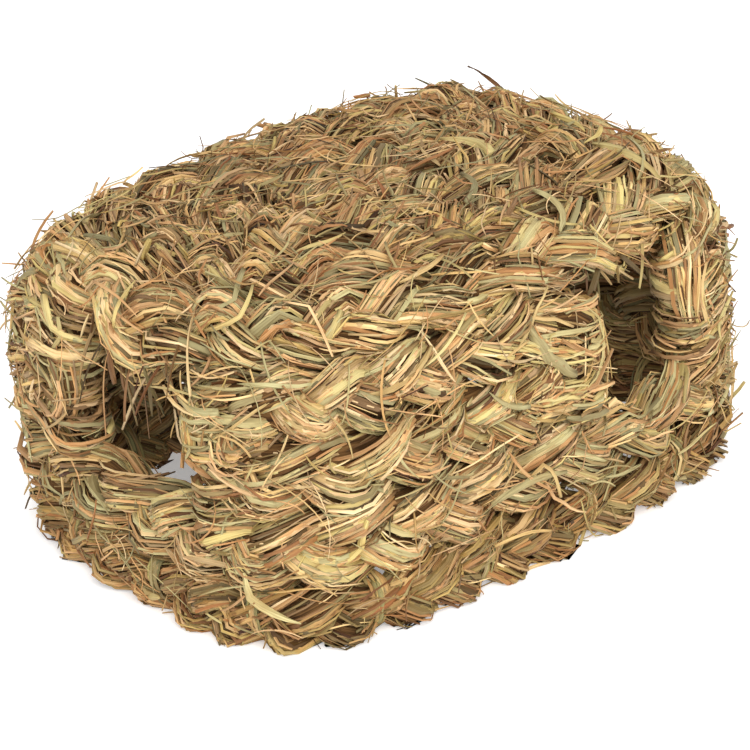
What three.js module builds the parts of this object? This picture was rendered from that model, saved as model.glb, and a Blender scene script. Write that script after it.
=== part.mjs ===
// A nest for small pets, plaited by hand from dried meadow grass. It is a loaf-shaped shell with no
// floor: flat plaits are coiled into a wall and a roof and bound together. One entrance is in the
// short -X wall and one in the long -Y wall. The wall between and behind them is two panels, each a
// plait that folds back on itself at the entrances. Grass ties pinch the ground row.
//
// Millimetres, +Z up. The origin is on the ground under the middle of the nest, and X is its length.
//
// Everything is placed in the shell's own coordinates:
//   way    the share of the footprint's outline, 0 at +X, 0.25 at +Y, 0.5 at -X, 0.75 at -Y
//   climb  the distance from the ground up the outside of the wall, over the shoulder to the roof
//   depth  the distance inwards from that outside surface
import * as THREE from "three";

// Overall size
const LENGTH = 330;
const WIDTH = 258;
const HEIGHT = 168;
const SQUARENESS = 3.8; // exponent of the footprint, a superellipse: 2 is an ellipse
const SHOULDER_RADIUS = 56;
const ROOF_RISE = 3; // how far the roof's middle stands above its edge
const FOOT_TUCK = 9; // how far the ground row draws in at the ground

// Plaits
const THICKNESS = 28;
const GROUND_ROW_HEIGHT = 31;
const WALL_ROWS = 4; // above the ground row: sill, two panel runs, lintel
const ROOF_ROWS = 2.5; // rim, inner row and half of the centre row
const SECTION_POWER = 2.5; // exponent of a plait's section
const SEAM = 0.3; // each plait stops this far short of the seam with its neighbour
const GROUND_CUT = 4; // how much of the ground row's round underside is pressed flat

// Entrances: distance of the middle from the middle of the wall, and width. The lintel sags over each
// of them, and the sill dips under it.
const END_ENTRANCE = { offset: 16, width: 78, sag: 24, dip: 6 }; // in the -X wall, towards -Y
const SIDE_ENTRANCE = { offset: 65, width: 54, sag: 10, dip: 18 }; // in the -Y wall, towards +X

// Ties round the ground row
const TIES = 16;
const TIE_SHIFT = 0.35; // where the first tie is, as a share of the spacing
const TIE_THICKNESS = 2;
const TIE_WIDTH = 7;
const TIE_CLEARANCE = 0.6;
const PINCH = 3.8; // how far a tie draws the ground row in, all round its section
const PINCH_FADE = 0.13; // of the spacing, over which most of the pinch is let out

// Mesh resolution
const SECTION_SIDES = 12;
const RING_STEPS = 60;
const BEND_STEPS = 6; // half a turn of a folded plait
const RUN_STEP = 15; // longest step along a folded plait's straight run
const CENTRE_STEPS = 28; // round the centre row's outline
const OUTLINE_SAMPLES = 400; // for the footprint's tightest bend

const WALL_HEIGHT = HEIGHT - ROOF_RISE - SHOULDER_RADIUS; // where the shoulder starts to turn in
const SHOULDER_LENGTH = (SHOULDER_RADIUS * Math.PI) / 2;
const ROOF_REACH = WIDTH / 2 - SHOULDER_RADIUS; // from the shoulder's end to the middle of the roof
const FULL_CLIMB = WALL_HEIGHT + SHOULDER_LENGTH + ROOF_REACH;
const ROW_PITCH = (FULL_CLIMB - GROUND_ROW_HEIGHT) / (WALL_ROWS + ROOF_ROWS);
const TURN = Math.PI * 2;

// The climb at the lower edge of row n above the ground row: 0 is the sill.
const rowStart = (n) => GROUND_ROW_HEIGHT + ROW_PITCH * n;
const signedPower = (x, power) => Math.sign(x) * Math.abs(x) ** power;

class Footprint extends THREE.Curve {
  getPoint(t, target = new THREE.Vector2()) {
    return target.set(
      (LENGTH / 2) * signedPower(Math.cos(t * TURN), 2 / SQUARENESS),
      (WIDTH / 2) * signedPower(Math.sin(t * TURN), 2 / SQUARENESS),
    );
  }
}
const footprint = new Footprint();
footprint.arcLengthDivisions = 4000;
const PERIMETER = footprint.getLength();

// The radius of the footprint's tightest bend.
function tightestBend() {
  const step = 1 / OUTLINE_SAMPLES;
  let sharpest = 0;
  for (let i = 0; i < OUTLINE_SAMPLES; i++) {
    const before = footprint.getTangentAt(i * step);
    const after = footprint.getTangentAt((i + 1) * step);
    sharpest = Math.max(sharpest, Math.acos(Math.min(1, before.dot(after))));
  }
  return (PERIMETER * step) / sharpest;
}

// The ground row stays pinched a little wider than a tie, also on the inside of the tightest bend.
// Its stations between one tie and the next are shares of the tie spacing, counted from a tie, and
// each has its share of the pinch.
const CORNER_RADIUS = tightestBend();
const PINCHED_HALF =
  ((TIE_WIDTH / 2 + TIE_CLEARANCE) * CORNER_RADIUS) / (CORNER_RADIUS - THICKNESS);
const pinchedShare = PINCHED_HALF / (PERIMETER / TIES);
const TIE_STATIONS = [
  { at: -pinchedShare - PINCH_FADE, pinched: 0.4 },
  { at: -pinchedShare, pinched: 1 },
  { at: pinchedShare, pinched: 1 },
  { at: pinchedShare + PINCH_FADE, pinched: 0.4 },
  { at: 0.5, pinched: 0 },
];

// The middle of each entrance, as a way round the footprint. The wall is straight there.
const endMiddle = 0.5 + END_ENTRANCE.offset / PERIMETER;
const sideMiddle = 0.75 + SIDE_ENTRANCE.offset / PERIMETER;

// The outside surface at a climb: how far it is in from the footprint, its height, and how far it
// leans over from upright.
function profile(climb) {
  if (climb <= WALL_HEIGHT) return { inset: 0, z: climb, lean: 0 };
  const lean = Math.min((climb - WALL_HEIGHT) / SHOULDER_RADIUS, Math.PI / 2);
  const onRoof = Math.max(0, climb - WALL_HEIGHT - SHOULDER_LENGTH);
  return {
    inset: SHOULDER_RADIUS * (1 - Math.cos(lean)) + onRoof,
    z:
      WALL_HEIGHT +
      SHOULDER_RADIUS * Math.sin(lean) +
      ROOF_RISE * (1 - (1 - onRoof / ROOF_REACH) ** 2),
    lean,
  };
}

// How much deeper the ground row sits at a climb, because it is tucked under.
function tuck(climb) {
  return FOOT_TUCK * Math.min(1, Math.max(0, 1 - climb / GROUND_ROW_HEIGHT)) ** 2;
}

// The outward direction and the place on the outside surface.
function surface(way, climb) {
  const { inset, z, lean } = profile(climb);
  const angle = footprint.getUtoTmapping(way - Math.floor(way)) * TURN;
  const x = signedPower(Math.cos(angle), 2 / SQUARENESS);
  const y = signedPower(Math.sin(angle), 2 / SQUARENESS);
  const halfLength = LENGTH / 2 - inset;
  const halfWidth = WIDTH / 2 - inset;
  const out = new THREE.Vector3(
    signedPower(x, SQUARENESS - 1) / halfLength,
    signedPower(y, SQUARENESS - 1) / halfWidth,
    0,
  ).normalize();
  return { out, lean, place: new THREE.Vector3(halfLength * x, halfWidth * y, z) };
}

function inShell(way, climb, depth) {
  const { out, lean, place } = surface(way, climb);
  place.addScaledVector(out, -depth * Math.cos(lean) - tuck(climb));
  place.z = Math.max(0, place.z - depth * Math.sin(lean));
  return place;
}

// A closed ring: the grid of a torus, each of its vertices placed by place(step, angle), where angle
// goes round the section.
function ring(steps, sides, place) {
  const geometry = new THREE.TorusGeometry(1, 0.5, sides, steps);
  const position = geometry.getAttribute("position");
  for (let side = 0; side <= sides; side++) {
    for (let step = 0; step <= steps; step++) {
      const p = place(step % steps, ((side % sides) / sides) * TURN);
      position.setXYZ(side * (steps + 1) + step, p.x, p.y, p.z);
    }
  }
  geometry.computeVertexNormals();
  return geometry;
}

// A point of a plait's section, from -1 to 1 each way.
function section(angle) {
  return {
    a: signedPower(Math.cos(angle), 2 / SECTION_POWER),
    b: signedPower(Math.sin(angle), 2 / SECTION_POWER),
  };
}

// A plait that goes once round the shell between two climbs, which may change with the way.
function coilRow(low, high) {
  return ring(RING_STEPS, SECTION_SIDES, (step, angle) => {
    const way = step / RING_STEPS;
    const { a, b } = section(angle);
    const middle = (low(way) + high(way)) / 2;
    const half = (high(way) - low(way)) / 2 - SEAM;
    return inShell(way, middle + half * b, (THICKNESS / 2) * (1 - a));
  });
}

// How much of an entrance's sag or dip there is: 1 in its middle, falling to 0 at its jambs.
function inEntrance(way, middle, width) {
  const share = (Math.abs(way - middle) * PERIMETER) / (width / 2);
  return share < 1 ? Math.cos((share * Math.PI) / 2) ** 2 : 0;
}
const inEnd = (way) => inEntrance(way, endMiddle, END_ENTRANCE.width);
const inSide = (way) => inEntrance(way, sideMiddle, SIDE_ENTRANCE.width);
const sag = (way) => END_ENTRANCE.sag * inEnd(way) + SIDE_ENTRANCE.sag * inSide(way);
const dip = (way) => END_ENTRANCE.dip * inEnd(way) + SIDE_ENTRANCE.dip * inSide(way);

// The ground row's section at one station: its climb and depth limits.
function groundLimits(pinched) {
  const low = -GROUND_CUT + (GROUND_CUT + PINCH) * pinched;
  const high = GROUND_ROW_HEIGHT - SEAM - PINCH * pinched;
  return {
    middle: (low + high) / 2,
    half: (high - low) / 2,
    halfDepth: THICKNESS / 2 - PINCH * pinched,
  };
}

const tieWay = (tie) => (tie + TIE_SHIFT) / TIES;

function groundRow() {
  const perTie = TIE_STATIONS.length;
  return ring(TIES * perTie, SECTION_SIDES, (step, angle) => {
    const { at, pinched } = TIE_STATIONS[step % perTie];
    const way = tieWay(Math.floor(step / perTie) + at);
    const { middle, half, halfDepth } = groundLimits(pinched);
    const { a, b } = section(angle);
    return inShell(way, middle + half * b, THICKNESS / 2 - halfDepth * a);
  });
}

// A band round the ground row's pinched section. Its own frame has X outwards and Z up, with the
// outside of the wall at X = 0.
function tieBand() {
  const { middle, half, halfDepth } = groundLimits(1);
  return ring(SECTION_SIDES, 4, (step, angle) => {
    const { a, b } = section((step / SECTION_SIDES) * TURN);
    const outer = Math.cos(angle + Math.PI / 4) > 0;
    const away = TIE_CLEARANCE + (outer ? TIE_THICKNESS : 0);
    const side = Math.sin(angle + Math.PI / 4) > 0 ? -1 : 1;
    const z = middle + (half + away) * b;
    return new THREE.Vector3(
      (halfDepth + away) * a - THICKNESS / 2 - tuck(z),
      (side * TIE_WIDTH) / 2,
      z,
    );
  });
}

// A plait that runs along the wall from one way to another, folds back at the end, returns above
// itself and joins its start through a second fold.
function foldedPanel(from, to) {
  const radius = ROW_PITCH / 2;
  const length = (to - from) * PERIMETER;
  const bend = 2 * radius; // the middle of each fold, from the panel's end
  const run = length - 2 * bend;
  const runSteps = Math.ceil(run / RUN_STEP);
  const stations = [];
  for (const half of [0, 1]) {
    const turned = half * Math.PI;
    const end = half ? bend : length - bend;
    for (let i = 0; i < runSteps; i++) {
      const along = bend + (run * i) / runSteps;
      stations.push({
        along: half ? length - along : along,
        up: half ? radius : -radius,
        angle: turned - Math.PI / 2,
      });
    }
    for (let i = 0; i < BEND_STEPS; i++) {
      const angle = turned - Math.PI / 2 + (Math.PI * i) / BEND_STEPS;
      stations.push({
        along: end + radius * Math.cos(angle),
        up: radius * Math.sin(angle),
        angle,
      });
    }
  }
  const middle = rowStart(2);
  const halfPlait = radius - SEAM;
  return ring(stations.length, SECTION_SIDES, (step, angle) => {
    const station = stations[step];
    const { a, b } = section(angle);
    const along = station.along + halfPlait * a * Math.cos(station.angle);
    const up = station.up + halfPlait * a * Math.sin(station.angle);
    return inShell(from + along / PERIMETER, middle + up, (THICKNESS / 2) * (1 - b));
  });
}

// The straight plait in the middle of the roof: a sphere pulled out to the outline that the inner
// row leaves, with a plait's section. Its own middle is at the origin.
function centreRow() {
  const { inset } = profile(rowStart(WALL_ROWS + ROOF_ROWS - 0.5));
  const halfLength = LENGTH / 2 - inset - SEAM;
  const halfWidth = WIDTH / 2 - inset - SEAM;
  const geometry = new THREE.SphereGeometry(1, CENTRE_STEPS, SECTION_SIDES).rotateX(Math.PI / 2);
  const position = geometry.getAttribute("position");
  for (let i = 0; i < position.count; i++) {
    const p = new THREE.Vector3().fromBufferAttribute(position, i);
    const round = Math.hypot(p.x, p.y);
    const out = round ** (2 / SECTION_POWER);
    const x = round > 1e-6 ? p.x / round : 0;
    const y = round > 1e-6 ? p.y / round : 0;
    position.setXYZ(
      i,
      halfLength * out * signedPower(x, 2 / SQUARENESS),
      halfWidth * out * signedPower(y, 2 / SQUARENESS),
      (THICKNESS / 2) * signedPower(p.z, 2 / SECTION_POWER),
    );
  }
  geometry.computeVertexNormals();
  return geometry;
}

const grass = (color) =>
  new THREE.MeshStandardMaterial({ color, roughness: 0.85, metalness: 0 });
const wallGrass = grass(0xb79a6c);
const roofGrass = grass(0x947654);
const groundGrass = grass(0xa4865d);
const tieGrass = grass(0x7e7048);

const nest = new THREE.Group();

function add(name, geometry, material) {
  const mesh = new THREE.Mesh(geometry, material);
  mesh.name = name;
  nest.add(mesh);
  return mesh;
}

add("ground_row", groundRow(), groundGrass);

add(
  "sill_row",
  coilRow(() => rowStart(0), (way) => rowStart(1) - dip(way)),
  wallGrass,
);

const endHalf = END_ENTRANCE.width / 2 / PERIMETER;
const sideHalf = SIDE_ENTRANCE.width / 2 / PERIMETER;
add("front_panel", foldedPanel(endMiddle + endHalf, sideMiddle - sideHalf), wallGrass);
add("back_panel", foldedPanel(sideMiddle + sideHalf, 1 + endMiddle - endHalf), wallGrass);

add(
  "lintel_row",
  coilRow((way) => rowStart(3) - sag(way), () => rowStart(4)),
  wallGrass,
);

add("roof_rim_row", coilRow(() => rowStart(4), () => rowStart(5)), roofGrass);
add("roof_inner_row", coilRow(() => rowStart(5), () => rowStart(6)), roofGrass);
add("roof_centre_row", centreRow(), roofGrass).position.z = HEIGHT - THICKNESS / 2;

for (let tie = 0; tie < TIES; tie++) {
  const { out, place } = surface(tieWay(tie), GROUND_ROW_HEIGHT);
  const band = add(`tie_${String(tie + 1).padStart(2, "0")}`, tieBand(), tieGrass);
  band.position.set(place.x, place.y, 0);
  band.rotation.z = Math.atan2(out.y, out.x);
}

export default nest;
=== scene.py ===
"""A nest for small pets, plaited by hand from dried meadow grass and built here straw by straw.

Metres, +Z up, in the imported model's frame. Every plait is three strands of grass, each a bundle of
separate straws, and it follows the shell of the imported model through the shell's own coordinates:
    way    share of the footprint's outline: 0 at +X, 0.25 at +Y, 0.5 at -X, 0.75 at -Y
    climb  distance from the ground up the outside of the wall, over the shoulder to the roof
    depth  distance inwards from that outside surface
"""
import math

import bpy
import numpy as np
from mathutils import Matrix, Vector


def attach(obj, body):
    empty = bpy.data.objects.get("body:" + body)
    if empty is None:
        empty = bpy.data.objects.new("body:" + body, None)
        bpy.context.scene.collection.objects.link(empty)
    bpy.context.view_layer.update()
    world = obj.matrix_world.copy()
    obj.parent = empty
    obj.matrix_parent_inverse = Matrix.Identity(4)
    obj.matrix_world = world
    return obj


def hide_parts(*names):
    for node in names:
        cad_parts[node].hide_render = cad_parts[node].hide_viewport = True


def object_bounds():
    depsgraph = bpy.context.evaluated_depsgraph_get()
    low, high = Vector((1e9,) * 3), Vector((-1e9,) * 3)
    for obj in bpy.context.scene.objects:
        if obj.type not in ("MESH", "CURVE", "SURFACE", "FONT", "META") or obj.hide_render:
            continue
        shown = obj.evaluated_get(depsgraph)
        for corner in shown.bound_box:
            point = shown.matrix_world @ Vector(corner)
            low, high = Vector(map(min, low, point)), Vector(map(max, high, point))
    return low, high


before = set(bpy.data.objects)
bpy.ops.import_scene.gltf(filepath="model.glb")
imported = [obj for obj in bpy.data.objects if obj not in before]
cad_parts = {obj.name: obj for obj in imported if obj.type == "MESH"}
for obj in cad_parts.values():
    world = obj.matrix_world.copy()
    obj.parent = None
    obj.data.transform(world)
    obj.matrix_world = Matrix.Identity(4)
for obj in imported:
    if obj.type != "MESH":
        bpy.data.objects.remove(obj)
CAD_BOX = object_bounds()

# ---------------------------------------------------------------- the shell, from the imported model
LOW, HIGH = np.array(CAD_BOX[0]), np.array(CAD_BOX[1])
LENGTH, WIDTH, HEIGHT = HIGH - LOW
SQUARENESS = 3.8
SHOULDER_RADIUS = 0.056
ROOF_RISE = 0.003
FOOT_TUCK = 0.009
THICKNESS = 0.028
GROUND_ROW_HEIGHT = 0.031
WALL_ROWS, ROOF_ROWS = 4, 2.5
END_ENTRANCE = {"offset": 0.016, "width": 0.078, "sag": 0.024, "dip": 0.006}
SIDE_ENTRANCE = {"offset": 0.065, "width": 0.054, "sag": 0.010, "dip": 0.018}
TIES = 16
TIE_SHIFT = 0.35
PINCH = 0.0038
PINCH_FADE = 0.13  # share of the ties' spacing at which the pinch is down to about a third
DRAWN_IN = 0.42  # share of their spread that the strands lose under a tie
FLARE = 0.006  # how far the ground row's underside splays out on the floor

WALL_HEIGHT = HEIGHT - ROOF_RISE - SHOULDER_RADIUS
SHOULDER_LENGTH = SHOULDER_RADIUS * math.pi / 2
ROOF_REACH = WIDTH / 2 - SHOULDER_RADIUS
FULL_CLIMB = WALL_HEIGHT + SHOULDER_LENGTH + ROOF_REACH
ROW_PITCH = (FULL_CLIMB - GROUND_ROW_HEIGHT) / (WALL_ROWS + ROOF_ROWS)
TURN = 2 * math.pi

OUTLINE_SAMPLES = 4000


def signed_power(x, power):
    return np.sign(x) * np.abs(x) ** power


def outline(angle):
    """A point of the footprint, as a share of its half length and half width."""
    return signed_power(np.cos(angle), 2 / SQUARENESS), signed_power(np.sin(angle), 2 / SQUARENESS)


angles = np.linspace(0, TURN, OUTLINE_SAMPLES + 1)
outline_x, outline_y = outline(angles)
steps = np.hypot(np.diff(outline_x * LENGTH / 2), np.diff(outline_y * WIDTH / 2))
travelled = np.concatenate([[0], np.cumsum(steps)])
PERIMETER = travelled[-1]
END_MIDDLE = 0.5 + END_ENTRANCE["offset"] / PERIMETER
SIDE_MIDDLE = 0.75 + SIDE_ENTRANCE["offset"] / PERIMETER
END_HALF = END_ENTRANCE["width"] / 2 / PERIMETER
SIDE_HALF = SIDE_ENTRANCE["width"] / 2 / PERIMETER


def row_start(n):
    """The climb at the lower edge of row n above the ground row."""
    return GROUND_ROW_HEIGHT + ROW_PITCH * n


def profile(climb):
    """How far the outside is in from the footprint at a climb, its height and its lean."""
    lean = np.clip((climb - WALL_HEIGHT) / SHOULDER_RADIUS, 0, math.pi / 2)
    on_roof = np.maximum(0, climb - WALL_HEIGHT - SHOULDER_LENGTH)
    inset = SHOULDER_RADIUS * (1 - np.cos(lean)) + on_roof
    rise = ROOF_RISE * (1 - (1 - on_roof / ROOF_REACH) ** 2)
    z = np.minimum(climb, WALL_HEIGHT) + SHOULDER_RADIUS * np.sin(lean) + rise * (on_roof > 0)
    return inset, z, lean


def in_shell(way, climb, depth):
    """Places in the shell. The arrays are alike in shape, and the result has one more axis."""
    inset, z, lean = profile(climb)
    x, y = outline(np.interp(np.mod(way, 1) * PERIMETER, travelled, angles))
    half_length, half_width = LENGTH / 2 - inset, WIDTH / 2 - inset
    out_x = signed_power(x, SQUARENESS - 1) / half_length
    out_y = signed_power(y, SQUARENESS - 1) / half_width
    size = np.hypot(out_x, out_y)
    tuck = FOOT_TUCK * np.clip(1 - climb / GROUND_ROW_HEIGHT, 0, 1) ** 2
    inwards = (depth * np.cos(lean) + tuck) / size
    return np.stack(
        [
            half_length * x - inwards * out_x,
            half_width * y - inwards * out_y,
            z - depth * np.sin(lean),
        ],
        axis=-1,
    )


# ---------------------------------------------------------------- the rows
# A row turns (run, side, up) into a place: run goes along the plait's middle, side across it
# in the shell's surface, and up out of that surface. walk(run) counts the strands' crossings.
def in_entrances(way, what):
    """The sag of the lintel, or the dip of the sill, at a way."""
    total = 0
    for middle, entrance in ((END_MIDDLE, END_ENTRANCE), (SIDE_MIDDLE, SIDE_ENTRANCE)):
        share = np.abs(np.mod(way, 1) - middle) * PERIMETER / (entrance["width"] / 2)
        total = total + entrance[what] * np.cos(np.minimum(share, 1) * math.pi / 2) ** 2
    return total


CROSSING = 0.104  # run over which a strand goes from one edge of the plait to the other and back
SWAY = 0.0116  # how far a strand's middle swings to each side
DIVE = 0.0076  # how far it rises and falls
# How uneven hand plaiting makes the crossings, the sway, the dive and the strands' size.
UNEVEN_CROSSING = 0.07
UNEVEN_SWAY = 0.0014
UNEVEN_DIVE = 0.0010
UNEVEN_SIZE = 0.10


def wander(run, length, seed, finest=0.05):
    """A smooth random curve along a row, about -1 to 1, that meets itself at the row's end."""
    rng = np.random.default_rng(seed)
    total = np.zeros_like(run)
    waves = range(2, max(4, round(length / finest)))
    for wave in waves:
        total = total + rng.normal() * np.sin(TURN * (wave * run / length + rng.random()))
    return total / math.sqrt(len(waves))


def pinch(way):
    """1 where a tie draws the ground row in, falling to 0 between two ties."""
    away = np.abs(np.mod(way * TIES - TIE_SHIFT + 0.5, 1) - 0.5)
    return np.exp(-((away / PINCH_FADE) ** 2))


class Plait:
    """Three strands that cross: each swings from side to side and dives twice in each swing."""

    closed = True
    strands = 3
    strand_half = (0.0092, 0.0070)  # a strand's own half width and half thickness
    straw_length = (0.026, 0.068)  # shortest and longest
    fineness = 1.0  # its straws' widths, as a share of the usual ones

    def middle(self, strand, run):
        """Where a strand's middle is: to the side and up."""
        seed = self.seed * 10 + strand * 3
        late = UNEVEN_CROSSING * wander(run, self.length, self.seed * 10 + 9, 0.11)
        phase = TURN * (self.walk(run) + strand / self.strands + late)
        side = SWAY * np.sin(phase) + UNEVEN_SWAY * wander(run, self.length, seed)
        up = DIVE * np.sin(2 * phase) + UNEVEN_DIVE * wander(run, self.length, seed + 1)
        return side, up


class CoilRow(Plait):
    """A plait that goes once round the shell between two climbs."""

    def __init__(self, low, high, pinched=False, crossing=CROSSING):
        self.low, self.high, self.pinched = low, high, pinched
        way = np.linspace(0, 1, 400)
        middle = (low(way) + high(way)) / 2
        ring = in_shell(way, middle, np.full_like(way, THICKNESS / 2))
        self.length = float(np.linalg.norm(np.diff(ring, axis=0), axis=1).sum())
        self.crossing = self.length / round(self.length / crossing)

    def walk(self, run):
        return run / self.crossing

    def place(self, run, side, up):
        way = run / self.length
        low, high = self.low(way), self.high(way)
        drawn = 1 - DRAWN_IN * pinch(way) if self.pinched else 1
        climb = (low + high) / 2 + side * (high - low) / ROW_PITCH * drawn
        flare = FLARE * np.clip(1 - climb / GROUND_ROW_HEIGHT, 0, 1)
        return in_shell(way, climb, THICKNESS / 2 - up * drawn - flare)


class FoldedPanel(Plait):
    """A plait that runs along the wall, folds back at its end, and returns above itself."""

    def __init__(self, start, end):
        self.start = start
        self.radius = ROW_PITCH / 2
        self.bend = 2 * self.radius
        self.wall = (end - start) * PERIMETER
        self.straight = self.wall - 2 * self.bend
        self.half = self.straight + math.pi * self.radius
        self.length = 2 * self.half

    def station(self, run):
        """Along the wall, up it, and the angle of the plait's outer side."""
        second = np.mod(run, self.length) >= self.half
        part = np.mod(run, self.half)
        turned = np.maximum(0, part - self.straight) / self.radius - math.pi / 2
        along = self.bend + np.minimum(part, self.straight) + self.radius * np.cos(turned)
        up = self.radius * np.sin(turned)
        along = np.where(second, self.wall - along, along)
        return along, np.where(second, -up, up), turned + second * math.pi

    def walk(self, run):
        return self.station(run)[0] / CROSSING

    def place(self, run, side, up):
        along, climb, angle = self.station(run)
        along = along + side * np.cos(angle)
        climb = row_start(2) + climb + side * np.sin(angle)
        return in_shell(self.start + along / PERIMETER, climb, THICKNESS / 2 - up)


class CentreRow(Plait):
    """The straight plait in the middle of the roof."""

    closed = False

    def __init__(self):
        inset = profile(np.array(row_start(WALL_ROWS + ROOF_ROWS - 0.5)))[0]
        self.half_length = float(LENGTH / 2 - inset)
        self.half_width = float(WIDTH / 2 - inset)
        self.length = 2 * self.half_length

    def walk(self, run):
        return run / CROSSING

    def place(self, run, side, up):
        x = np.clip(run - self.half_length, -self.half_length, self.half_length)
        narrow = 1 - np.abs(x / self.half_length) ** SQUARENESS
        narrow = np.clip(narrow, 0.02, 1) ** (1 / SQUARENESS)
        z = HEIGHT - THICKNESS / 2 + up * (0.5 + 0.5 * narrow)
        return np.stack([x, side * narrow * self.half_width / (ROW_PITCH / 2), z], axis=-1)


# ---------------------------------------------------------------- strands and straws
POINTS = 7  # along one straw
SIDES = 3
LOCK = 9  # straws that lie together, on average
ALONE = 0.28  # share of the straws that don't lie in a lock
OPEN_END = 0.07  # share of an open row, at each end, that no lock is centred in
STRAY = 0.10  # share of the straws' ends that stand out
SAME_COLOUR = 0.35  # share of the straws that take their lock's colour


def in_strand(row, strand, run, angle, reach):
    """A place in or on a strand: angle goes round its section, and reach is 1 at its surface."""
    step = 0.001
    side, up = row.middle(strand, run)
    ahead = row.middle(strand, run + step)[0]
    slope = (ahead - side) / step
    size = np.sqrt(1 + slope**2)
    swell = 1 + UNEVEN_SIZE * wander(run, row.length, row.seed * 10 + strand * 3 + 2)
    across = row.strand_half[0] * swell * reach * np.cos(angle)
    return row.place(
        run - across * slope / size,
        side + across / size,
        up + row.strand_half[1] * swell * reach * np.sin(angle),
    )


def unit(v):
    return v / np.maximum(np.linalg.norm(v, axis=-1, keepdims=True), 1e-9)


class Straws:
    """Straws gathered for one piece: their middles, flat sides, widths and colours."""

    def __init__(self):
        self.middles, self.faces, self.widths, self.looks = [], [], [], []

    def add(self, middles, faces, widths, looks):
        """middles and faces are (straw, point, 3), widths (straw, point), looks (straw, 2)."""
        self.middles.append(middles)
        self.faces.append(faces)
        self.widths.append(widths)
        self.looks.append(looks)


FLOOR_GAP = 0.0004  # nothing reaches lower than this above the floor
KEEL = 0.30  # height of a blade's ridge, as a share of its width
LEAST_KEEL = 0.00025  # and what is added to it
CORE_SHARE = 0.12  # of the bake map's height, for the cores
CELL_MARGIN = 0.12  # how far in from its cell's edge a straw's map starts
# Where in a straw's cell the corners of its two end triangles are.
CAP_CELL = np.array([[0.2, 0.13], [0.8, 0.13], [0.5, 0.14], [0.2, 0.87], [0.8, 0.87], [0.5, 0.86]])
BLADE_LENGTH = 6  # of a straw on the blade map
BLADE_SHIFT = np.array([1.37, 2.71])  # from each straw to the next on the blade map
BLADE_WRAP = np.array([97, 89])  # where that shift starts again


def straw_corners(straws):
    """The corners of all the straws of a piece, by straw, point along it and side."""
    middles = np.concatenate(straws.middles)
    faces = np.concatenate(straws.faces)
    widths = np.concatenate(straws.widths)[..., None]
    along = unit(np.gradient(middles, axis=1))
    across = unit(np.cross(along, faces))
    out = np.cross(across, along)
    ridge = out * (widths * KEEL + LEAST_KEEL)
    corners = np.stack(
        [middles - across * widths / 2, middles + across * widths / 2, middles + ridge], axis=2
    )
    corners[..., 2] = np.maximum(corners[..., 2], FLOOR_GAP)
    return corners


def side_grid():
    """The number of each quad of a straw: along it, and round it."""
    return np.meshgrid(np.arange(POINTS - 1), np.arange(SIDES), indexing="ij")


def straw_faces(count):
    """The corner numbers of the straws' side quads, and of the triangles that close their ends."""
    first = np.arange(count)[:, None, None] * POINTS * SIDES
    j, k = side_grid()
    here, there = j * SIDES + k, j * SIDES + (k + 1) % SIDES
    quads = np.stack([here, there, there + SIDES, here + SIDES], axis=-1)
    quads = (quads[None] + first[..., None]).reshape(-1, 4)
    ends = np.array([[0, 2, 1], [0, 1, 2]]) + np.array([[0], [(POINTS - 1) * SIDES]])
    return quads, (ends[None] + first).reshape(-1, 3)


def straw_bake_maps(count):
    """The bake map: each straw has its own cell, a little in from its neighbours."""
    j, k = side_grid()
    columns = max(1, round(math.sqrt(count * 16)))
    rows = math.ceil(count / columns)
    cell = np.stack([np.arange(count) % columns, np.arange(count) // columns], axis=-1)
    size = np.array([1 / columns, (1 - CORE_SHARE) / rows])
    u = np.stack([k, k + 1, k + 1, k], axis=-1) / SIDES
    v = np.stack([j, j, j + 1, j + 1], axis=-1) / (POINTS - 1)
    in_cell = np.stack([u, v], axis=-1) * (1 - 2 * CELL_MARGIN) + CELL_MARGIN
    quad_map = ((cell[:, None, None, None] + in_cell[None]) * size).reshape(-1, 2)
    cap_map = ((cell[:, None] + CAP_CELL[None]) * size).reshape(-1, 2)
    quad_map[:, 1] += CORE_SHARE
    cap_map[:, 1] += CORE_SHARE
    return quad_map, cap_map


def straw_blade_maps(count):
    """The blade map, which the veins follow: each straw is shifted from its neighbours."""
    j, k = side_grid()
    u = np.stack([k, k + 1, k + 1, k], axis=-1) / SIDES
    v = np.stack([j, j, j + 1, j + 1], axis=-1) / (POINTS - 1)
    offset = np.arange(count)[:, None] * BLADE_SHIFT % BLADE_WRAP
    blade = np.stack([u, v * BLADE_LENGTH], axis=-1)
    return (offset[:, None, None, None] + blade[None]).reshape(-1, 2), np.repeat(offset, 6, axis=0)


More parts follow.
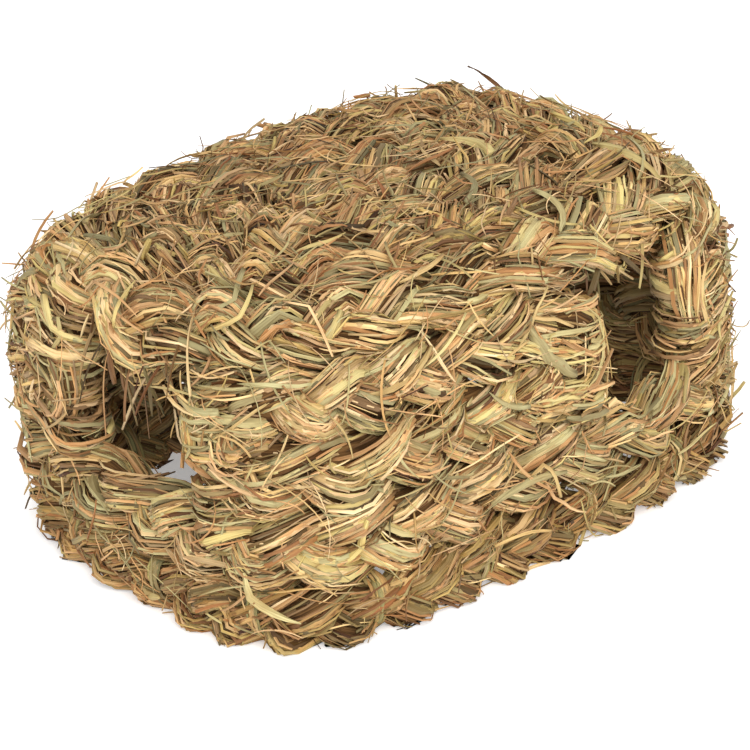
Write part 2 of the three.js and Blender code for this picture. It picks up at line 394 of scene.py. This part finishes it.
def straw_mesh(name, straws, cores, materials):
    """One mesh of closed straws and of the strands' closed cores, with its texture maps."""
    corners = straw_corners(straws)
    count = len(corners)
    quads, caps = straw_faces(count)
    vertices = [corners.reshape(-1, 3)]
    kinds = [np.repeat(np.concatenate(straws.looks), POINTS * SIDES, axis=0)]
    loops = [quads.ravel(), caps.ravel()]
    sizes = [np.full(len(quads), 4), np.full(len(caps), 3)]
    maps = list(straw_bake_maps(count))
    blades = list(straw_blade_maps(count))
    slots = [np.zeros(len(quads) + len(caps), int)]
    base = len(vertices[0])
    for n, (core, closed) in enumerate(cores):
        ring, around = core.shape[:2]
        strips = ring if closed else ring - 1
        i, s = np.meshgrid(np.arange(strips), np.arange(around), indexing="ij")
        a, b = i * around + s, i * around + (s + 1) % around
        c, d = (i + 1) % ring * around + (s + 1) % around, (i + 1) % ring * around + s
        quad = np.stack([a, b, c, d], axis=-1).reshape(-1, 4) + base
        u_core = np.stack([i, i, i + 1, i + 1], axis=-1) / ring
        v_core = np.stack([s, s + 1, s + 1, s], axis=-1) / around
        strip = np.stack([u_core, (n + 0.02 + 0.96 * v_core) / len(cores) * CORE_SHARE], axis=-1)
        vertices.append(core.reshape(-1, 3))
        kinds.append(np.full((ring * around, 2), 0.5))
        loops.append(quad.ravel())
        sizes.append(np.full(len(quad), 4))
        maps.append(strip.reshape(-1, 2))
        blades.append(np.stack([v_core * 40, u_core * ring], axis=-1).reshape(-1, 2))
        slots.append(np.ones(len(quad), int))
        if not closed:
            lids = np.array([np.arange(around)[::-1], np.arange(around) + strips * around]) + base
            lid_map = np.stack([np.cos(lids), np.sin(lids)], axis=-1) * 0.004 + 0.006
            loops.append(lids.ravel())
            sizes.append(np.full(2, around))
            maps.append(lid_map.reshape(-1, 2))
            blades.append(lid_map.reshape(-1, 2) * 400)
            slots.append(np.ones(2, int))
        base += ring * around

    vertices = np.concatenate(vertices)
    kinds = np.concatenate(kinds)
    loops = np.concatenate(loops)
    sizes = np.concatenate(sizes)
    mesh = bpy.data.meshes.new(name)
    mesh.vertices.add(len(vertices))
    mesh.vertices.foreach_set("co", vertices.astype(np.float32).ravel())
    mesh.loops.add(len(loops))
    mesh.loops.foreach_set("vertex_index", loops.astype(np.int32))
    mesh.polygons.add(len(sizes))
    starts = np.concatenate([[0], np.cumsum(sizes)[:-1]])
    mesh.polygons.foreach_set("loop_start", starts.astype(np.int32))
    mesh.polygons.foreach_set("material_index", np.concatenate(slots).astype(np.int32))
    mesh.update(calc_edges=True)
    for map_name, places in (("OFBake", maps), ("blade", blades)):
        layer = mesh.uv_layers.new(name=map_name)
        layer.data.foreach_set("uv", np.concatenate(places).astype(np.float32).ravel())
    for index, attribute in enumerate(("kind", "shade")):
        layer = mesh.attributes.new(attribute, "FLOAT", "POINT")
        layer.data.foreach_set("value", kinds[:, index].astype(np.float32))
    for material in materials:
        mesh.materials.append(material)
    # The blades' long edges are sharp, and they are smooth along their length.
    mesh.polygons.foreach_set("use_smooth", np.ones(len(sizes), bool))
    ends_of = np.empty(len(mesh.edges) * 2, np.int32)
    mesh.edges.foreach_get("vertices", ends_of)
    ends_of = ends_of.reshape(-1, 2)
    is_long = np.abs(ends_of[:, 0] - ends_of[:, 1]) == SIDES
    is_long &= ends_of.max(1) < count * POINTS * SIDES
    mesh.attributes.new("sharp_edge", "BOOLEAN", "EDGE").data.foreach_set("value", is_long)
    mesh.validate()
    piece = bpy.data.objects.new(name, mesh)
    bpy.context.collection.objects.link(piece)
    return piece


USUAL_WIDTH = 0.00155
WIDTH_SPREAD = 0.40  # of the widths' logarithm
WIDE_SHARE = 0.035  # how many straws are wide blades
WIDE = (0.0032, 0.0048)
THINNEST = 0.0008
SAGE_WIDTH = 0.0033  # wider straws than this are sage
SAGE_KINDS = (0.67, 0.96)  # the sage stretch of a palette
WIDEST_AT = (0.2, 0.7)  # share of its length at which a straw is widest
BLUNTNESS = (0.05, 0.75)  # of a straw's narrower tip, as a share of its width


def taper(count, rng):
    """How wide each straw is along its length: blades narrow to their tips."""
    s = np.linspace(0, 1, POINTS)[None]
    at = rng.uniform(*WIDEST_AT, (count, 1))
    blunt = rng.uniform(*BLUNTNESS, (count, 1))
    away = np.abs(s - at) / np.maximum(at, 1 - at)
    return blunt + (1 - blunt) * (1 - away**2)


def straw_widths(count, rng):
    """Most straws are thin, and a few are wide blades."""
    width = np.exp(rng.normal(math.log(USUAL_WIDTH), WIDTH_SPREAD, count))
    wide = rng.random(count) < WIDE_SHARE
    return np.clip(np.where(wide, rng.uniform(*WIDE, count), width), THINNEST, WIDE[1])


def roll(middles, faces, amount):
    """Turns the straws' flat sides about their length."""
    along = unit(np.gradient(middles, axis=1))
    across = unit(np.cross(along, faces))
    out = np.cross(across, along)
    return out * np.cos(amount)[..., None] + across * np.sin(amount)[..., None]


def strand_straws(straws, row, count, rng):
    """Straws that lie along the row's three strands, in their outer layers, lock by lock."""
    locks = max(6, count // LOCK)
    lock = rng.integers(0, locks, count)
    alone = (rng.random(count) < ALONE)[:, None]
    strand = rng.integers(0, row.strands, locks)[lock][:, None]
    strand = np.where(alone, rng.integers(0, row.strands, (count, 1)), strand)
    s = np.linspace(-1, 1, POINTS)[None]
    length = rng.uniform(*row.straw_length, (count, 1))
    spread = (0, row.length) if row.closed else (OPEN_END * row.length, (1 - OPEN_END) * row.length)
    middle = rng.uniform(*spread, locks)[lock][:, None] + rng.normal(0, 0.012, (count, 1))
    middle = np.where(alone, rng.uniform(*spread, (count, 1)), middle)
    run = middle + s * length / 2
    angle = rng.uniform(0, TURN, locks)[lock][:, None] + rng.normal(0, 0.30, (count, 1))
    angle = np.where(alone, rng.uniform(0, TURN, (count, 1)), angle)
    # neighbours twist alike, so that they lie side by side
    twist = 0.22 * wander(middle, row.length, row.seed + 50) + rng.normal(0, 0.10, (count, 1))
    twist = twist + rng.normal(0, 0.13, locks)[lock][:, None]
    bend = rng.normal(0, 0.08, locks)[lock][:, None] + rng.normal(0, 0.05, (count, 1))
    angle = angle + twist * s + bend * s**2
    angle = angle + rng.normal(0, 0.04, (count, 1)) * np.sin(s * rng.uniform(2, 5, (count, 1)))
    layer = np.where(alone, 0.99, 1.06) - 0.24 * rng.random((count, 1)) ** 1.3
    lift = rng.normal(-0.10, 0.14, (count, 2))
    stray = rng.random((count, 2)) < STRAY
    lift = np.where(stray, rng.uniform(0.1, 0.9, (count, 2)), lift)
    rising = lift[:, :1] * np.clip(-s, 0, 1) ** 2.5 + lift[:, 1:] * np.clip(s, 0, 1) ** 2.5
    reach = layer + rising
    middles = in_strand(row, strand, run, angle, reach)
    outer = in_strand(row, strand, run, angle, reach + 0.1)
    faces = unit(outer - middles)
    turn = rng.normal(0, 0.30, (count, 1)) + rng.normal(0, 0.25, (count, 1)) * s
    faces = roll(middles, faces, turn)
    width = straw_widths(count, rng) * row.fineness
    widths = width[:, None] * taper(count, rng)
    # the deeper a straw lies in its strand, the more painted shade its colour gets
    looks = straw_looks(width, layer[:, 0], rng)
    lighter = np.where(alone[:, 0], -0.1, rng.normal(0.04, 0.16, locks)[lock])
    looks[:, 1] = np.clip(looks[:, 1] + lighter, 0, 1)
    same = rng.random(count) < SAME_COLOUR
    shared = np.mod(rng.random(locks)[lock] + rng.normal(0, 0.05, count), 1)
    looks[:, 0] = np.where(same, shared, looks[:, 0])
    straws.add(middles, faces, widths, looks)


def straw_looks(width, layer, rng):
    """A straw's place in the palette, and how light it is: a random tone, darkened by painted shade
    the lower its layer lies. Wide blades are the grey-green ones.
    """
    count = len(width)
    kind = rng.random(count)
    low, high = SAGE_KINDS
    kind = np.where(width > SAGE_WIDTH, low + (high - low) * rng.random(count), kind)
    # a random tone, with painted shade: a straw in a lower layer is darker
    shade = np.clip(rng.normal(0.66, 0.20, count) + (layer - 0.95) * 3.0, 0, 1)
    return np.stack([kind, shade], axis=-1)


CORE_REACH = 0.64  # a core's size, as a share of its strand's
CORE_SIDES = 8
CORE_STEP = 0.007  # between its rings
CORE_RUN = (0.02, 0.98)  # the share of an open row that has cores
FILLING = (0.0160, 0.0040)  # half width and half thickness of the grass between the three strands


def strand_cores(row):
    """The closed core of each strand, which is what shows between its straws as painted shade, and
    of the row.
    """
    steps = max(24, round(row.length / CORE_STEP))
    if row.closed:
        run = np.linspace(0, row.length, steps, endpoint=False)
    else:
        run = np.linspace(*CORE_RUN, steps) * row.length
    angle = np.linspace(0, TURN, CORE_SIDES, endpoint=False)
    runs, turns = np.meshgrid(run, angle, indexing="ij")
    cores = [row.place(runs, FILLING[0] * np.cos(turns), FILLING[1] * np.sin(turns))]
    for strand in range(row.strands):
        cores.append(in_strand(row, strand, runs, turns, np.full_like(runs, CORE_REACH)))
    for inner in cores:
        inner[..., 2] = np.maximum(inner[..., 2], FLOOR_GAP)
    return [(inner, row.closed) for inner in cores]


# ---------------------------------------------------------------- materials
def material(name):
    m = bpy.data.materials.new(name)
    m.use_nodes = True
    return m, m.node_tree, m.node_tree.nodes["Principled BSDF"]


def ramp_node(tree, stops, factor):
    node = tree.nodes.new("ShaderNodeValToRGB")
    while len(node.color_ramp.elements) < len(stops):
        node.color_ramp.elements.new(0.5)
    for element, (place, colour) in zip(node.color_ramp.elements, stops):
        element.position = place
        element.color = (*[linear(c) for c in colour], 1)
    tree.links.new(factor, node.inputs["Fac"])
    return node.outputs["Color"]


def linear(value):
    """A display value from 0 to 255 as scene light."""
    v = value / 255
    return v / 12.92 if v <= 0.04045 else ((v + 0.055) / 1.055) ** 2.4


def attribute(tree, name):
    node = tree.nodes.new("ShaderNodeAttribute")
    node.attribute_name = name
    return node.outputs["Fac"]


def noise(tree, vector, scale, stretch=(1, 1, 1), detail=2.0):
    shift = tree.nodes.new("ShaderNodeMapping")
    shift.inputs["Scale"].default_value = stretch
    tree.links.new(vector, shift.inputs["Vector"])
    node = tree.nodes.new("ShaderNodeTexNoise")
    node.inputs["Scale"].default_value = scale
    node.inputs["Detail"].default_value = detail
    tree.links.new(shift.outputs["Vector"], node.inputs["Vector"])
    return node.outputs["Fac"]


def mix(tree, blend, factor, a, b):
    node = tree.nodes.new("ShaderNodeMix")
    node.data_type = "RGBA"
    node.blend_type = blend
    if isinstance(factor, float):
        node.inputs[0].default_value = factor
    else:
        tree.links.new(factor, node.inputs[0])
    tree.links.new(a, node.inputs[6])
    tree.links.new(b, node.inputs[7])
    return node.outputs[2]


def grass_material(name, palette, dark, light):
    """Dried grass: a colour for each straw from the palette, with veins and stains."""
    m, tree, shader = material(name)
    colour = ramp_node(tree, palette, attribute(tree, "kind"))
    # the shade ramp multiplies each straw's colour by its random tone and by painted shade on straws
    # in lower layers
    shade = ramp_node(tree, [(0, dark), (1, light)], attribute(tree, "shade"))
    colour = mix(tree, "MULTIPLY", 1.0, colour, shade)
    blade = tree.nodes.new("ShaderNodeUVMap")
    blade.uv_map = "blade"
    veins = noise(tree, blade.outputs["UV"], 3.0, (3.0, 0.12, 1.0), 3.0)
    vein_colour = ramp_node(tree, [(0.3, (196, 184, 170)), (0.6, (255, 255, 255))], veins)
    colour = mix(tree, "MULTIPLY", 0.8, colour, vein_colour)
    places = tree.nodes.new("ShaderNodeTexCoord").outputs["Object"]
    patches = noise(tree, places, 55.0, (1, 1, 1), 3.0)
    stain = ramp_node(tree, [(0.45, (255, 255, 255)), (0.66, (222, 190, 158))], patches)
    colour = mix(tree, "MULTIPLY", 0.40, colour, stain)
    tree.links.new(colour, shader.inputs["Base Color"])
    rough = tree.nodes.new("ShaderNodeMapRange")
    rough.inputs["To Min"].default_value = 0.5
    rough.inputs["To Max"].default_value = 0.8
    tree.links.new(veins, rough.inputs["Value"])
    tree.links.new(rough.outputs["Result"], shader.inputs["Roughness"])
    shader.inputs["Specular IOR Level"].default_value = 0.35
    bump = tree.nodes.new("ShaderNodeBump")
    bump.inputs["Strength"].default_value = 0.35
    bump.inputs["Distance"].default_value = 0.0004
    tree.links.new(veins, bump.inputs["Height"])
    tree.links.new(bump.outputs["Normal"], shader.inputs["Normal"])
    return m


def painted_shade_core_material():
    """Painted shade: grass deep between the straws, coloured dark brown for the shade there,
    streaked along the strand.
    """
    m, tree, shader = material("deep_grass_painted_shade")
    blade = tree.nodes.new("ShaderNodeUVMap")
    blade.uv_map = "blade"
    streaks = noise(tree, blade.outputs["UV"], 1.0, (1.0, 0.25, 1.0), 4.0)
    # dark browns: painted shade deep between the straws
    stops = [(0.3, (40, 24, 11)), (0.5, (86, 59, 31)), (0.7, (126, 93, 54))]
    tree.links.new(ramp_node(tree, stops, streaks), shader.inputs["Base Color"])
    shader.inputs["Roughness"].default_value = 0.85
    shader.inputs["Specular IOR Level"].default_value = 0.15
    bump = tree.nodes.new("ShaderNodeBump")
    bump.inputs["Strength"].default_value = 0.6
    bump.inputs["Distance"].default_value = 0.001
    tree.links.new(streaks, bump.inputs["Height"])
    tree.links.new(bump.outputs["Normal"], shader.inputs["Normal"])
    return m


# Places in a palette, with their colours as display values: straw, tan, brown bits, sage.
FIELD_GRASS = [
    (0.00, (243, 223, 176)),
    (0.14, (234, 206, 142)),
    (0.26, (246, 228, 188)),
    (0.40, (232, 196, 150)),
    (0.53, (220, 180, 128)),
    (0.61, (182, 132, 84)),
    (0.67, (224, 210, 142)),
    (0.80, (202, 196, 148)),
    (0.92, (186, 186, 144)),
    (1.00, (210, 180, 122)),
]
BROWN_GRASS = [
    (0.00, (236, 214, 162)),
    (0.14, (216, 184, 130)),
    (0.28, (242, 218, 178)),
    (0.42, (206, 164, 118)),
    (0.52, (158, 108, 70)),
    (0.60, (214, 176, 122)),
    (0.68, (214, 198, 128)),
    (0.80, (192, 184, 138)),
    (0.92, (158, 158, 122)),
    (1.00, (194, 156, 110)),
]


# ---------------------------------------------------------------- the nest
# the cores' grass: painted shade between the straws
core = painted_shade_core_material()
MATERIALS = {
    "wall_grass": grass_material("wall_straw", FIELD_GRASS, (102, 78, 52), (252, 243, 229)),
    "roof_grass": grass_material("roof_straw", BROWN_GRASS, (92, 72, 52), (250, 240, 224)),
    "ground_grass": grass_material("ground_straw", FIELD_GRASS, (98, 75, 50), (218, 198, 173)),
    "tie_grass": grass_material("tie_straw", FIELD_GRASS, (96, 96, 80), (224, 222, 200)),
}

GROUND_LOW = -0.006  # the ground row's lower edge, before the floor flattens it
GROUND_CROSSING = 0.080


def level(climb):
    """An edge of a row that stays at one climb."""
    return lambda way: np.full_like(way, climb)


ROWS = {
    "ground_row": CoilRow(
        level(GROUND_LOW), level(GROUND_ROW_HEIGHT), pinched=True, crossing=GROUND_CROSSING
    ),
    "sill_row": CoilRow(level(row_start(0)), lambda way: row_start(1) - in_entrances(way, "dip")),
    "front_panel": FoldedPanel(END_MIDDLE + END_HALF, SIDE_MIDDLE - SIDE_HALF),
    "back_panel": FoldedPanel(SIDE_MIDDLE + SIDE_HALF, 1 + END_MIDDLE - END_HALF),
    "lintel_row": CoilRow(lambda way: row_start(3) - in_entrances(way, "sag"), level(row_start(4))),
    "roof_rim_row": CoilRow(level(row_start(4)), level(row_start(5))),
    "roof_inner_row": CoilRow(level(row_start(5)), level(row_start(6))),
    "roof_centre_row": CentreRow(),
}
SLOTS = {
    "ground_row": "ground_grass",
    "sill_row": "wall_grass",
    "front_panel": "wall_grass",
    "back_panel": "wall_grass",
    "lintel_row": "wall_grass",
    "roof_rim_row": "roof_grass",
    "roof_inner_row": "roof_grass",
    "roof_centre_row": "roof_grass",
}


def add_piece(name, straws, cores, slot, replaced=()):
    """Makes a piece that moves with the nest, wears a slot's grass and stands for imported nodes."""
    piece = straw_mesh(name, straws, cores, [MATERIALS[slot], core])
    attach(piece, "root")
    if replaced:
        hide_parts(*replaced)


STRAWS_PER_METRE = {"ground_grass": 5900, "wall_grass": 6200, "roof_grass": 7800}
MOST_STRAWS = 4800  # in one piece
ROOF_FINENESS = 0.84
ROOF_STRAW_LENGTH = (0.022, 0.058)

for seed, (node, row) in enumerate(ROWS.items()):
    row.seed = 100 + seed
    rng = np.random.default_rng(1000 + seed)
    if SLOTS[node] == "roof_grass":
        row.fineness = ROOF_FINENESS
        row.straw_length = ROOF_STRAW_LENGTH
    count = round(STRAWS_PER_METRE[SLOTS[node]] * row.length)
    parts = math.ceil(count / MOST_STRAWS)
    for part in range(parts):
        straws = Straws()
        strand_straws(straws, row, count // parts, rng)
        cores = [] if part else strand_cores(row)
        add_piece(f"{node}_grass_{part + 1}", straws, cores, SLOTS[node], [node])


# ---------------------------------------------------------------- the jambs
class JambWrap:
    """A bundle that comes along the outside of a wall, goes round its jamb and ends inside it."""

    closed = False
    strands = 1
    strand_half = (0.0105, 0.0062)
    straw_length = (0.016, 0.036)
    fineness = 1.0
    OUTSIDE = 0.034  # run before the turn
    ROUND = 0.0085  # radius of the bundle's middle round the wall's middle
    INSIDE = 0.020

    def __init__(self, way, inwards, climb, tilt):
        self.way, self.inwards, self.climb, self.tilt = way, inwards, climb, tilt
        self.turn = math.pi * self.ROUND
        self.length = self.OUTSIDE + self.turn + self.INSIDE

    def middle(self, strand, run):
        return 0 * run, 0 * run

    def place(self, run, side, up):
        turned = np.clip((run - self.OUTSIDE) / self.ROUND, 0, math.pi)
        before = np.maximum(0, self.OUTSIDE - run)
        after = np.maximum(0, run - self.OUTSIDE - self.turn)
        radius = self.ROUND + up - 0.2 * (before + after) ** 1.4
        along = THICKNESS / 2 + before + after - radius * np.sin(turned)
        depth = THICKNESS / 2 - radius * np.cos(turned)
        climb = self.climb + side + self.tilt * (before + after)
        return in_shell(self.way + self.inwards * along / PERIMETER, climb, depth)


TIE_STRAWS = 44
TIE_SQUARENESS = 2.5  # of the loop that a tie makes
TIE_HALF_WIDTH = 0.0036
TIE_FINENESS = 0.8


def tie_straws(tie, rng):
    """Straws wound about half a turn each round the pinched ground row."""
    straws = Straws()
    count = TIE_STRAWS
    s = np.linspace(0, 1, POINTS)[None]
    angle = rng.uniform(0, TURN, (count, 1)) + s * rng.uniform(0.30, 0.48, (count, 1)) * TURN
    way = (tie + TIE_SHIFT) / TIES
    along = rng.uniform(-TIE_HALF_WIDTH, TIE_HALF_WIDTH, (count, 1))
    along = along + rng.normal(0, 0.002, (count, 1)) * (s - 0.5)
    away = rng.uniform(0.0004, 0.0026, (count, 1)) - 0.0012 * (2 * s - 1) ** 4

    def place(away):
        a = signed_power(np.cos(angle), 2 / TIE_SQUARENESS)
        b = signed_power(np.sin(angle), 2 / TIE_SQUARENESS)
        climb = GROUND_ROW_HEIGHT / 2 + (GROUND_ROW_HEIGHT / 2 - PINCH + away) * b
        depth = THICKNESS / 2 - (THICKNESS / 2 - PINCH + away) * a
        return in_shell(way + along / PERIMETER, climb, depth)

    middles = place(away)
    faces = unit(place(away + 0.001) - middles)
    width = straw_widths(count, rng) * TIE_FINENESS
    looks = straw_looks(width, np.full(count, 0.98), rng)
    straws.add(middles, faces, width[:, None] * taper(count, rng), looks)
    return straws


for tie in range(TIES):
    node = f"tie_{tie + 1:02d}"
    straws = tie_straws(tie, np.random.default_rng(2000 + tie))
    add_piece(node + "_grass", straws, [], "tie_grass", [node])

# Each jamb: the way it is at, and the way from there into the wall.
JAMBS = {
    "end_jamb_front": (END_MIDDLE + END_HALF, 1),
    "end_jamb_back": (END_MIDDLE - END_HALF, -1),
    "side_jamb_front": (SIDE_MIDDLE - SIDE_HALF, -1),
    "side_jamb_back": (SIDE_MIDDLE + SIDE_HALF, 1),
}
WRAPS = 5
WRAP_STRAWS = 84
WRAP_TILT = (0.1, 0.45)
WRAP_LOWERED = 0.004  # so that the lowest wrap meets the sill

for seed, (name, (way, inwards)) in enumerate(JAMBS.items()):
    rng = np.random.default_rng(3000 + seed)
    straws = Straws()
    for wrap in range(WRAPS):
        climb = row_start(1) + (wrap + 0.5) / WRAPS * 2 * ROW_PITCH - WRAP_LOWERED
        bundle = JambWrap(way, inwards, climb, rng.uniform(*WRAP_TILT))
        bundle.seed = 300 + seed * WRAPS + wrap
        strand_straws(straws, bundle, WRAP_STRAWS, rng)
    add_piece(name + "_grass", straws, [], "wall_grass")


# ---------------------------------------------------------------- loose straws
def add_tapered(straws, middles, faces, widths, layer, rng):
    """Adds straws that all lie in one layer. A higher layer is lighter: a lower one gets more
    painted shade.
    """
    count = len(widths)
    tapered = widths[:, None] * taper(count, rng)
    straws.add(middles, faces, tapered, straw_looks(widths, np.full(count, layer), rng))


def ring_length(climb):
    """How long the way round the shell is at a climb."""
    return PERIMETER * (1 - 2 * profile(climb)[0] * 2 / (LENGTH + WIDTH))


def clear_of_entrances(way, climb):
    """Which straws keep out of both entrances along their whole length."""
    clear = np.ones(len(way), bool)
    for middle, entrance in ((END_MIDDLE, END_ENTRANCE), (SIDE_MIDDLE, SIDE_ENTRANCE)):
        beside = np.abs(np.mod(way, 1) - middle) * PERIMETER < entrance["width"] / 2
        low = row_start(1) - entrance["dip"]
        high = row_start(3) - entrance["sag"]
        clear &= ~(beside & (climb > low) & (climb < high)).any(1)
    return clear


SCATTER_CLIMBS = (0.001, FULL_CLIMB - 0.002)  # loose straws stay between these


def lying_straws(straws, count, low, high, length, width, lift, rng):
    """Straws scattered on the outside between two climbs, across the plaits and each other.

    length is shortest and longest, width a share of the usual, and lift how far an end stands out.
    """
    s = np.linspace(-1, 1, POINTS)[None]
    climb = rng.uniform(low, high, count)
    keep = rng.random(count) < ring_length(climb) / PERIMETER
    climb = climb[keep][:, None]
    count = len(climb)
    way = rng.random((count, 1))
    heading = rng.normal(0, 0.8, (count, 1))
    half = rng.uniform(*length, (count, 1)) / 2
    heading = heading + rng.normal(0, 0.35, (count, 1)) * s
    kink = np.where(rng.random((count, 1)) < 0.25, rng.normal(0, 0.6, (count, 1)), 0)
    heading = heading + kink * (s > rng.uniform(-0.4, 0.4, (count, 1)))
    forward = np.cumsum(np.cos(heading), axis=1) * half * 2 / (POINTS - 1)
    sideways = np.cumsum(np.sin(heading), axis=1) * half * 2 / (POINTS - 1)
    ways = way + (forward - forward[:, [POINTS // 2]]) / ring_length(climb)
    climbs = np.clip(climb + sideways - sideways[:, [POINTS // 2]], *SCATTER_CLIMBS)
    depth = rng.uniform(-0.0012, 0.0030, (count, 1))
    depth = depth - rng.exponential(lift, (count, 1)) * (s > 0) * s**2
    depth = depth + rng.uniform(0, 0.004, (count, 1)) * (s < 0) * s**2
    depth = np.maximum(depth, -0.009)
    clear = clear_of_entrances(ways, climbs)
    ways, climbs, depth = ways[clear], climbs[clear], depth[clear]
    count = len(ways)
    middles = in_shell(ways, climbs, depth)
    faces = unit(in_shell(ways, climbs, depth - 0.001) - middles)
    faces = roll(middles, faces, rng.normal(0, 0.5, (count, 1)) + rng.normal(0, 0.4, (count, 1)) * s)
    widths = np.clip(straw_widths(count, rng) * width, 0.0005, 0.0055)
    add_tapered(straws, middles, faces, widths, 1.0, rng)


def fringe_straws(straws, count, low, high, length, out, width, rng):
    """Ends that stand out of the plaits: their lengths, how far out they reach, and their widths."""
    s = np.linspace(0, 1, POINTS)[None]
    climb = rng.uniform(low, high, count)
    climb = climb[rng.random(count) < ring_length(climb) / PERIMETER][:, None]
    count = len(climb)
    heading = rng.uniform(-math.pi, math.pi, (count, 1))
    length = rng.uniform(*length, (count, 1))
    out = rng.uniform(*out, (count, 1))
    curl = rng.normal(0, 0.5, (count, 1))
    ways = rng.random((count, 1)) + s * length * np.cos(heading + curl * s) / ring_length(climb)
    climbs = np.clip(climb + s * length * np.sin(heading + curl * s), *SCATTER_CLIMBS)
    depth = 0.004 - (out + 0.004) * s
    clear = clear_of_entrances(ways, climbs)
    ways, climbs, depth = ways[clear], climbs[clear], depth[clear]
    count = len(ways)
    middles = in_shell(ways, climbs, depth)
    faces = unit(in_shell(ways + 0.002, climbs, depth - 0.001) - middles)
    widths = straw_widths(count, rng) * rng.uniform(*width, count)
    add_tapered(straws, middles, faces, widths, 0.9, rng)


def hanging_straws(straws, count, middle, entrance, drop, rng):
    """Blades that hang from the lintel into an entrance."""
    s = np.linspace(0, 1, POINTS)[None]
    across = rng.uniform(-0.5, 0.5, (count, 1)) * entrance["width"]
    ways = middle + (across + rng.normal(0, 0.012, (count, 1)) * s) / PERIMETER
    top = row_start(3) - in_entrances(ways[:, :1], "sag") + 0.008
    climbs = top - s * rng.uniform(*drop, (count, 1))
    depth = rng.uniform(0.003, 0.022, (count, 1)) + rng.normal(0, 0.006, (count, 1)) * s
    middles = in_shell(ways, climbs, depth)
    faces = unit(in_shell(ways, climbs, depth - 0.001) - middles)
    faces = roll(middles, faces, rng.normal(0, 0.9, (count, 1)) + 0 * s)
    widths = straw_widths(count, rng)
    add_tapered(straws, middles, faces, widths, 0.8, rng)


def add_loose_straws():
    rng = np.random.default_rng(4000)
    wall, roof = Straws(), Straws()
    edge = row_start(4)
    lying_straws(wall, 340, 0.0, edge, (0.012, 0.040), 0.9, 0.0015, rng)
    lying_straws(wall, 520, 0.0, edge, (0.014, 0.044), 0.35, 0.002, rng)
    lying_straws(roof, 420, edge, FULL_CLIMB, (0.008, 0.028), 0.8, 0.0015, rng)
    lying_straws(roof, 420, edge, FULL_CLIMB, (0.012, 0.038), 0.35, 0.002, rng)
    fringe_straws(wall, 620, 0.0, edge, (0.006, 0.017), (0.0005, 0.005), (0.3, 0.8), rng)
    fringe_straws(roof, 420, edge, FULL_CLIMB, (0.006, 0.017), (0.0005, 0.005), (0.3, 0.8), rng)
    hanging_straws(wall, 34, END_MIDDLE, END_ENTRANCE, (0.014, 0.042), rng)
    hanging_straws(wall, 16, SIDE_MIDDLE, SIDE_ENTRANCE, (0.010, 0.026), rng)
    # wide blades on the surface, and longer straws that stand out of it
    lying_straws(wall, 30, 0.0, edge, (0.026, 0.048), 2.4, 0.001, rng)
    lying_straws(roof, 16, edge, FULL_CLIMB, (0.022, 0.040), 2.2, 0.001, rng)
    fringe_straws(wall, 26, 0.0, edge, (0.018, 0.036), (0.004, 0.011), (0.8, 1.6), rng)
    add_piece("loose_wall_grass", wall, [], "wall_grass")
    add_piece("loose_roof_grass", roof, [], "roof_grass")


add_loose_straws()


# ---------------------------------------------------------------- floor, light and camera
def add_floor():
    mesh = bpy.data.meshes.new("floor")
    size = 6.0
    corners = [(-size, -size, 0), (size, -size, 0), (size, size, 0), (-size, size, 0)]
    mesh.from_pydata(corners, [], [(0, 1, 2, 3)])
    m, tree, shader = material("floor_paper")
    shader.inputs["Base Color"].default_value = (0.92, 0.92, 0.92, 1)
    shader.inputs["Emission Color"].default_value = (1, 1, 1, 1)
    shader.inputs["Emission Strength"].default_value = 0.3
    shader.inputs["Roughness"].default_value = 0.9
    mesh.materials.append(m)
    floor = bpy.data.objects.new("floor", mesh)
    bpy.context.collection.objects.link(floor)


KEY_PLACE, KEY_TARGET = (-0.9, -1.6, 1.5), (0, 0, 0.06)
KEY_SIZE, KEY_POWER = 1.4, 48


def add_light(name, place, target, size, power):
    data = bpy.data.lights.new(name, "AREA")
    data.shape = "SQUARE"
    data.size = size
    data.energy = power
    light = bpy.data.objects.new(name, data)
    light.location = place
    light.rotation_euler = (Vector(target) - Vector(place)).to_track_quat("-Z", "Y").to_euler()
    bpy.context.collection.objects.link(light)


def add_world():
    world = bpy.data.worlds.new("studio")
    world.use_nodes = True
    world.node_tree.nodes["Background"].inputs["Color"].default_value = (1, 1, 1, 1)
    world.node_tree.nodes["Background"].inputs["Strength"].default_value = 0.85
    bpy.context.scene.world = world


CAMERA_TARGET = (0.0, 0.0, 0.084)
CAMERA_AZIMUTH = math.radians(-38.76)
CAMERA_ELEVATION = math.radians(24.05)
CAMERA_ROLL = math.radians(-4.67)
CAMERA_DISTANCE = 1.4288
CAMERA_TILT = 0.0163  # the aim is lowered by this much of the distance, to frame the nest
CAMERA_LENS = 140.2


def add_camera():
    a, e = CAMERA_AZIMUTH, CAMERA_ELEVATION
    back = Vector((math.sin(a) * math.cos(e), -math.cos(a) * math.cos(e), math.sin(e)))
    right = Vector((math.cos(a), math.sin(a), 0))
    up = back.cross(right)
    rolled_right = right * math.cos(CAMERA_ROLL) + up * math.sin(CAMERA_ROLL)
    rolled_up = up * math.cos(CAMERA_ROLL) - right * math.sin(CAMERA_ROLL)
    place = Vector(CAMERA_TARGET) + back * CAMERA_DISTANCE
    back = (back + rolled_up * CAMERA_TILT).normalized()
    rolled_up = (rolled_up - back * rolled_up.dot(back)).normalized()
    rolled_right = rolled_up.cross(back)
    camera = bpy.data.objects.new("camera", bpy.data.cameras.new("camera"))
    camera.data.lens = CAMERA_LENS
    camera.data.sensor_width = 36
    axes = Matrix((rolled_right, rolled_up, back)).transposed()
    camera.matrix_world = Matrix.Translation(place) @ axes.to_4x4()
    bpy.context.collection.objects.link(camera)
    bpy.context.scene.camera = camera


add_camera()
add_world()
add_floor()
add_light("key", KEY_PLACE, KEY_TARGET, KEY_SIZE, KEY_POWER)
bpy.context.scene.view_settings.view_transform = "Standard"
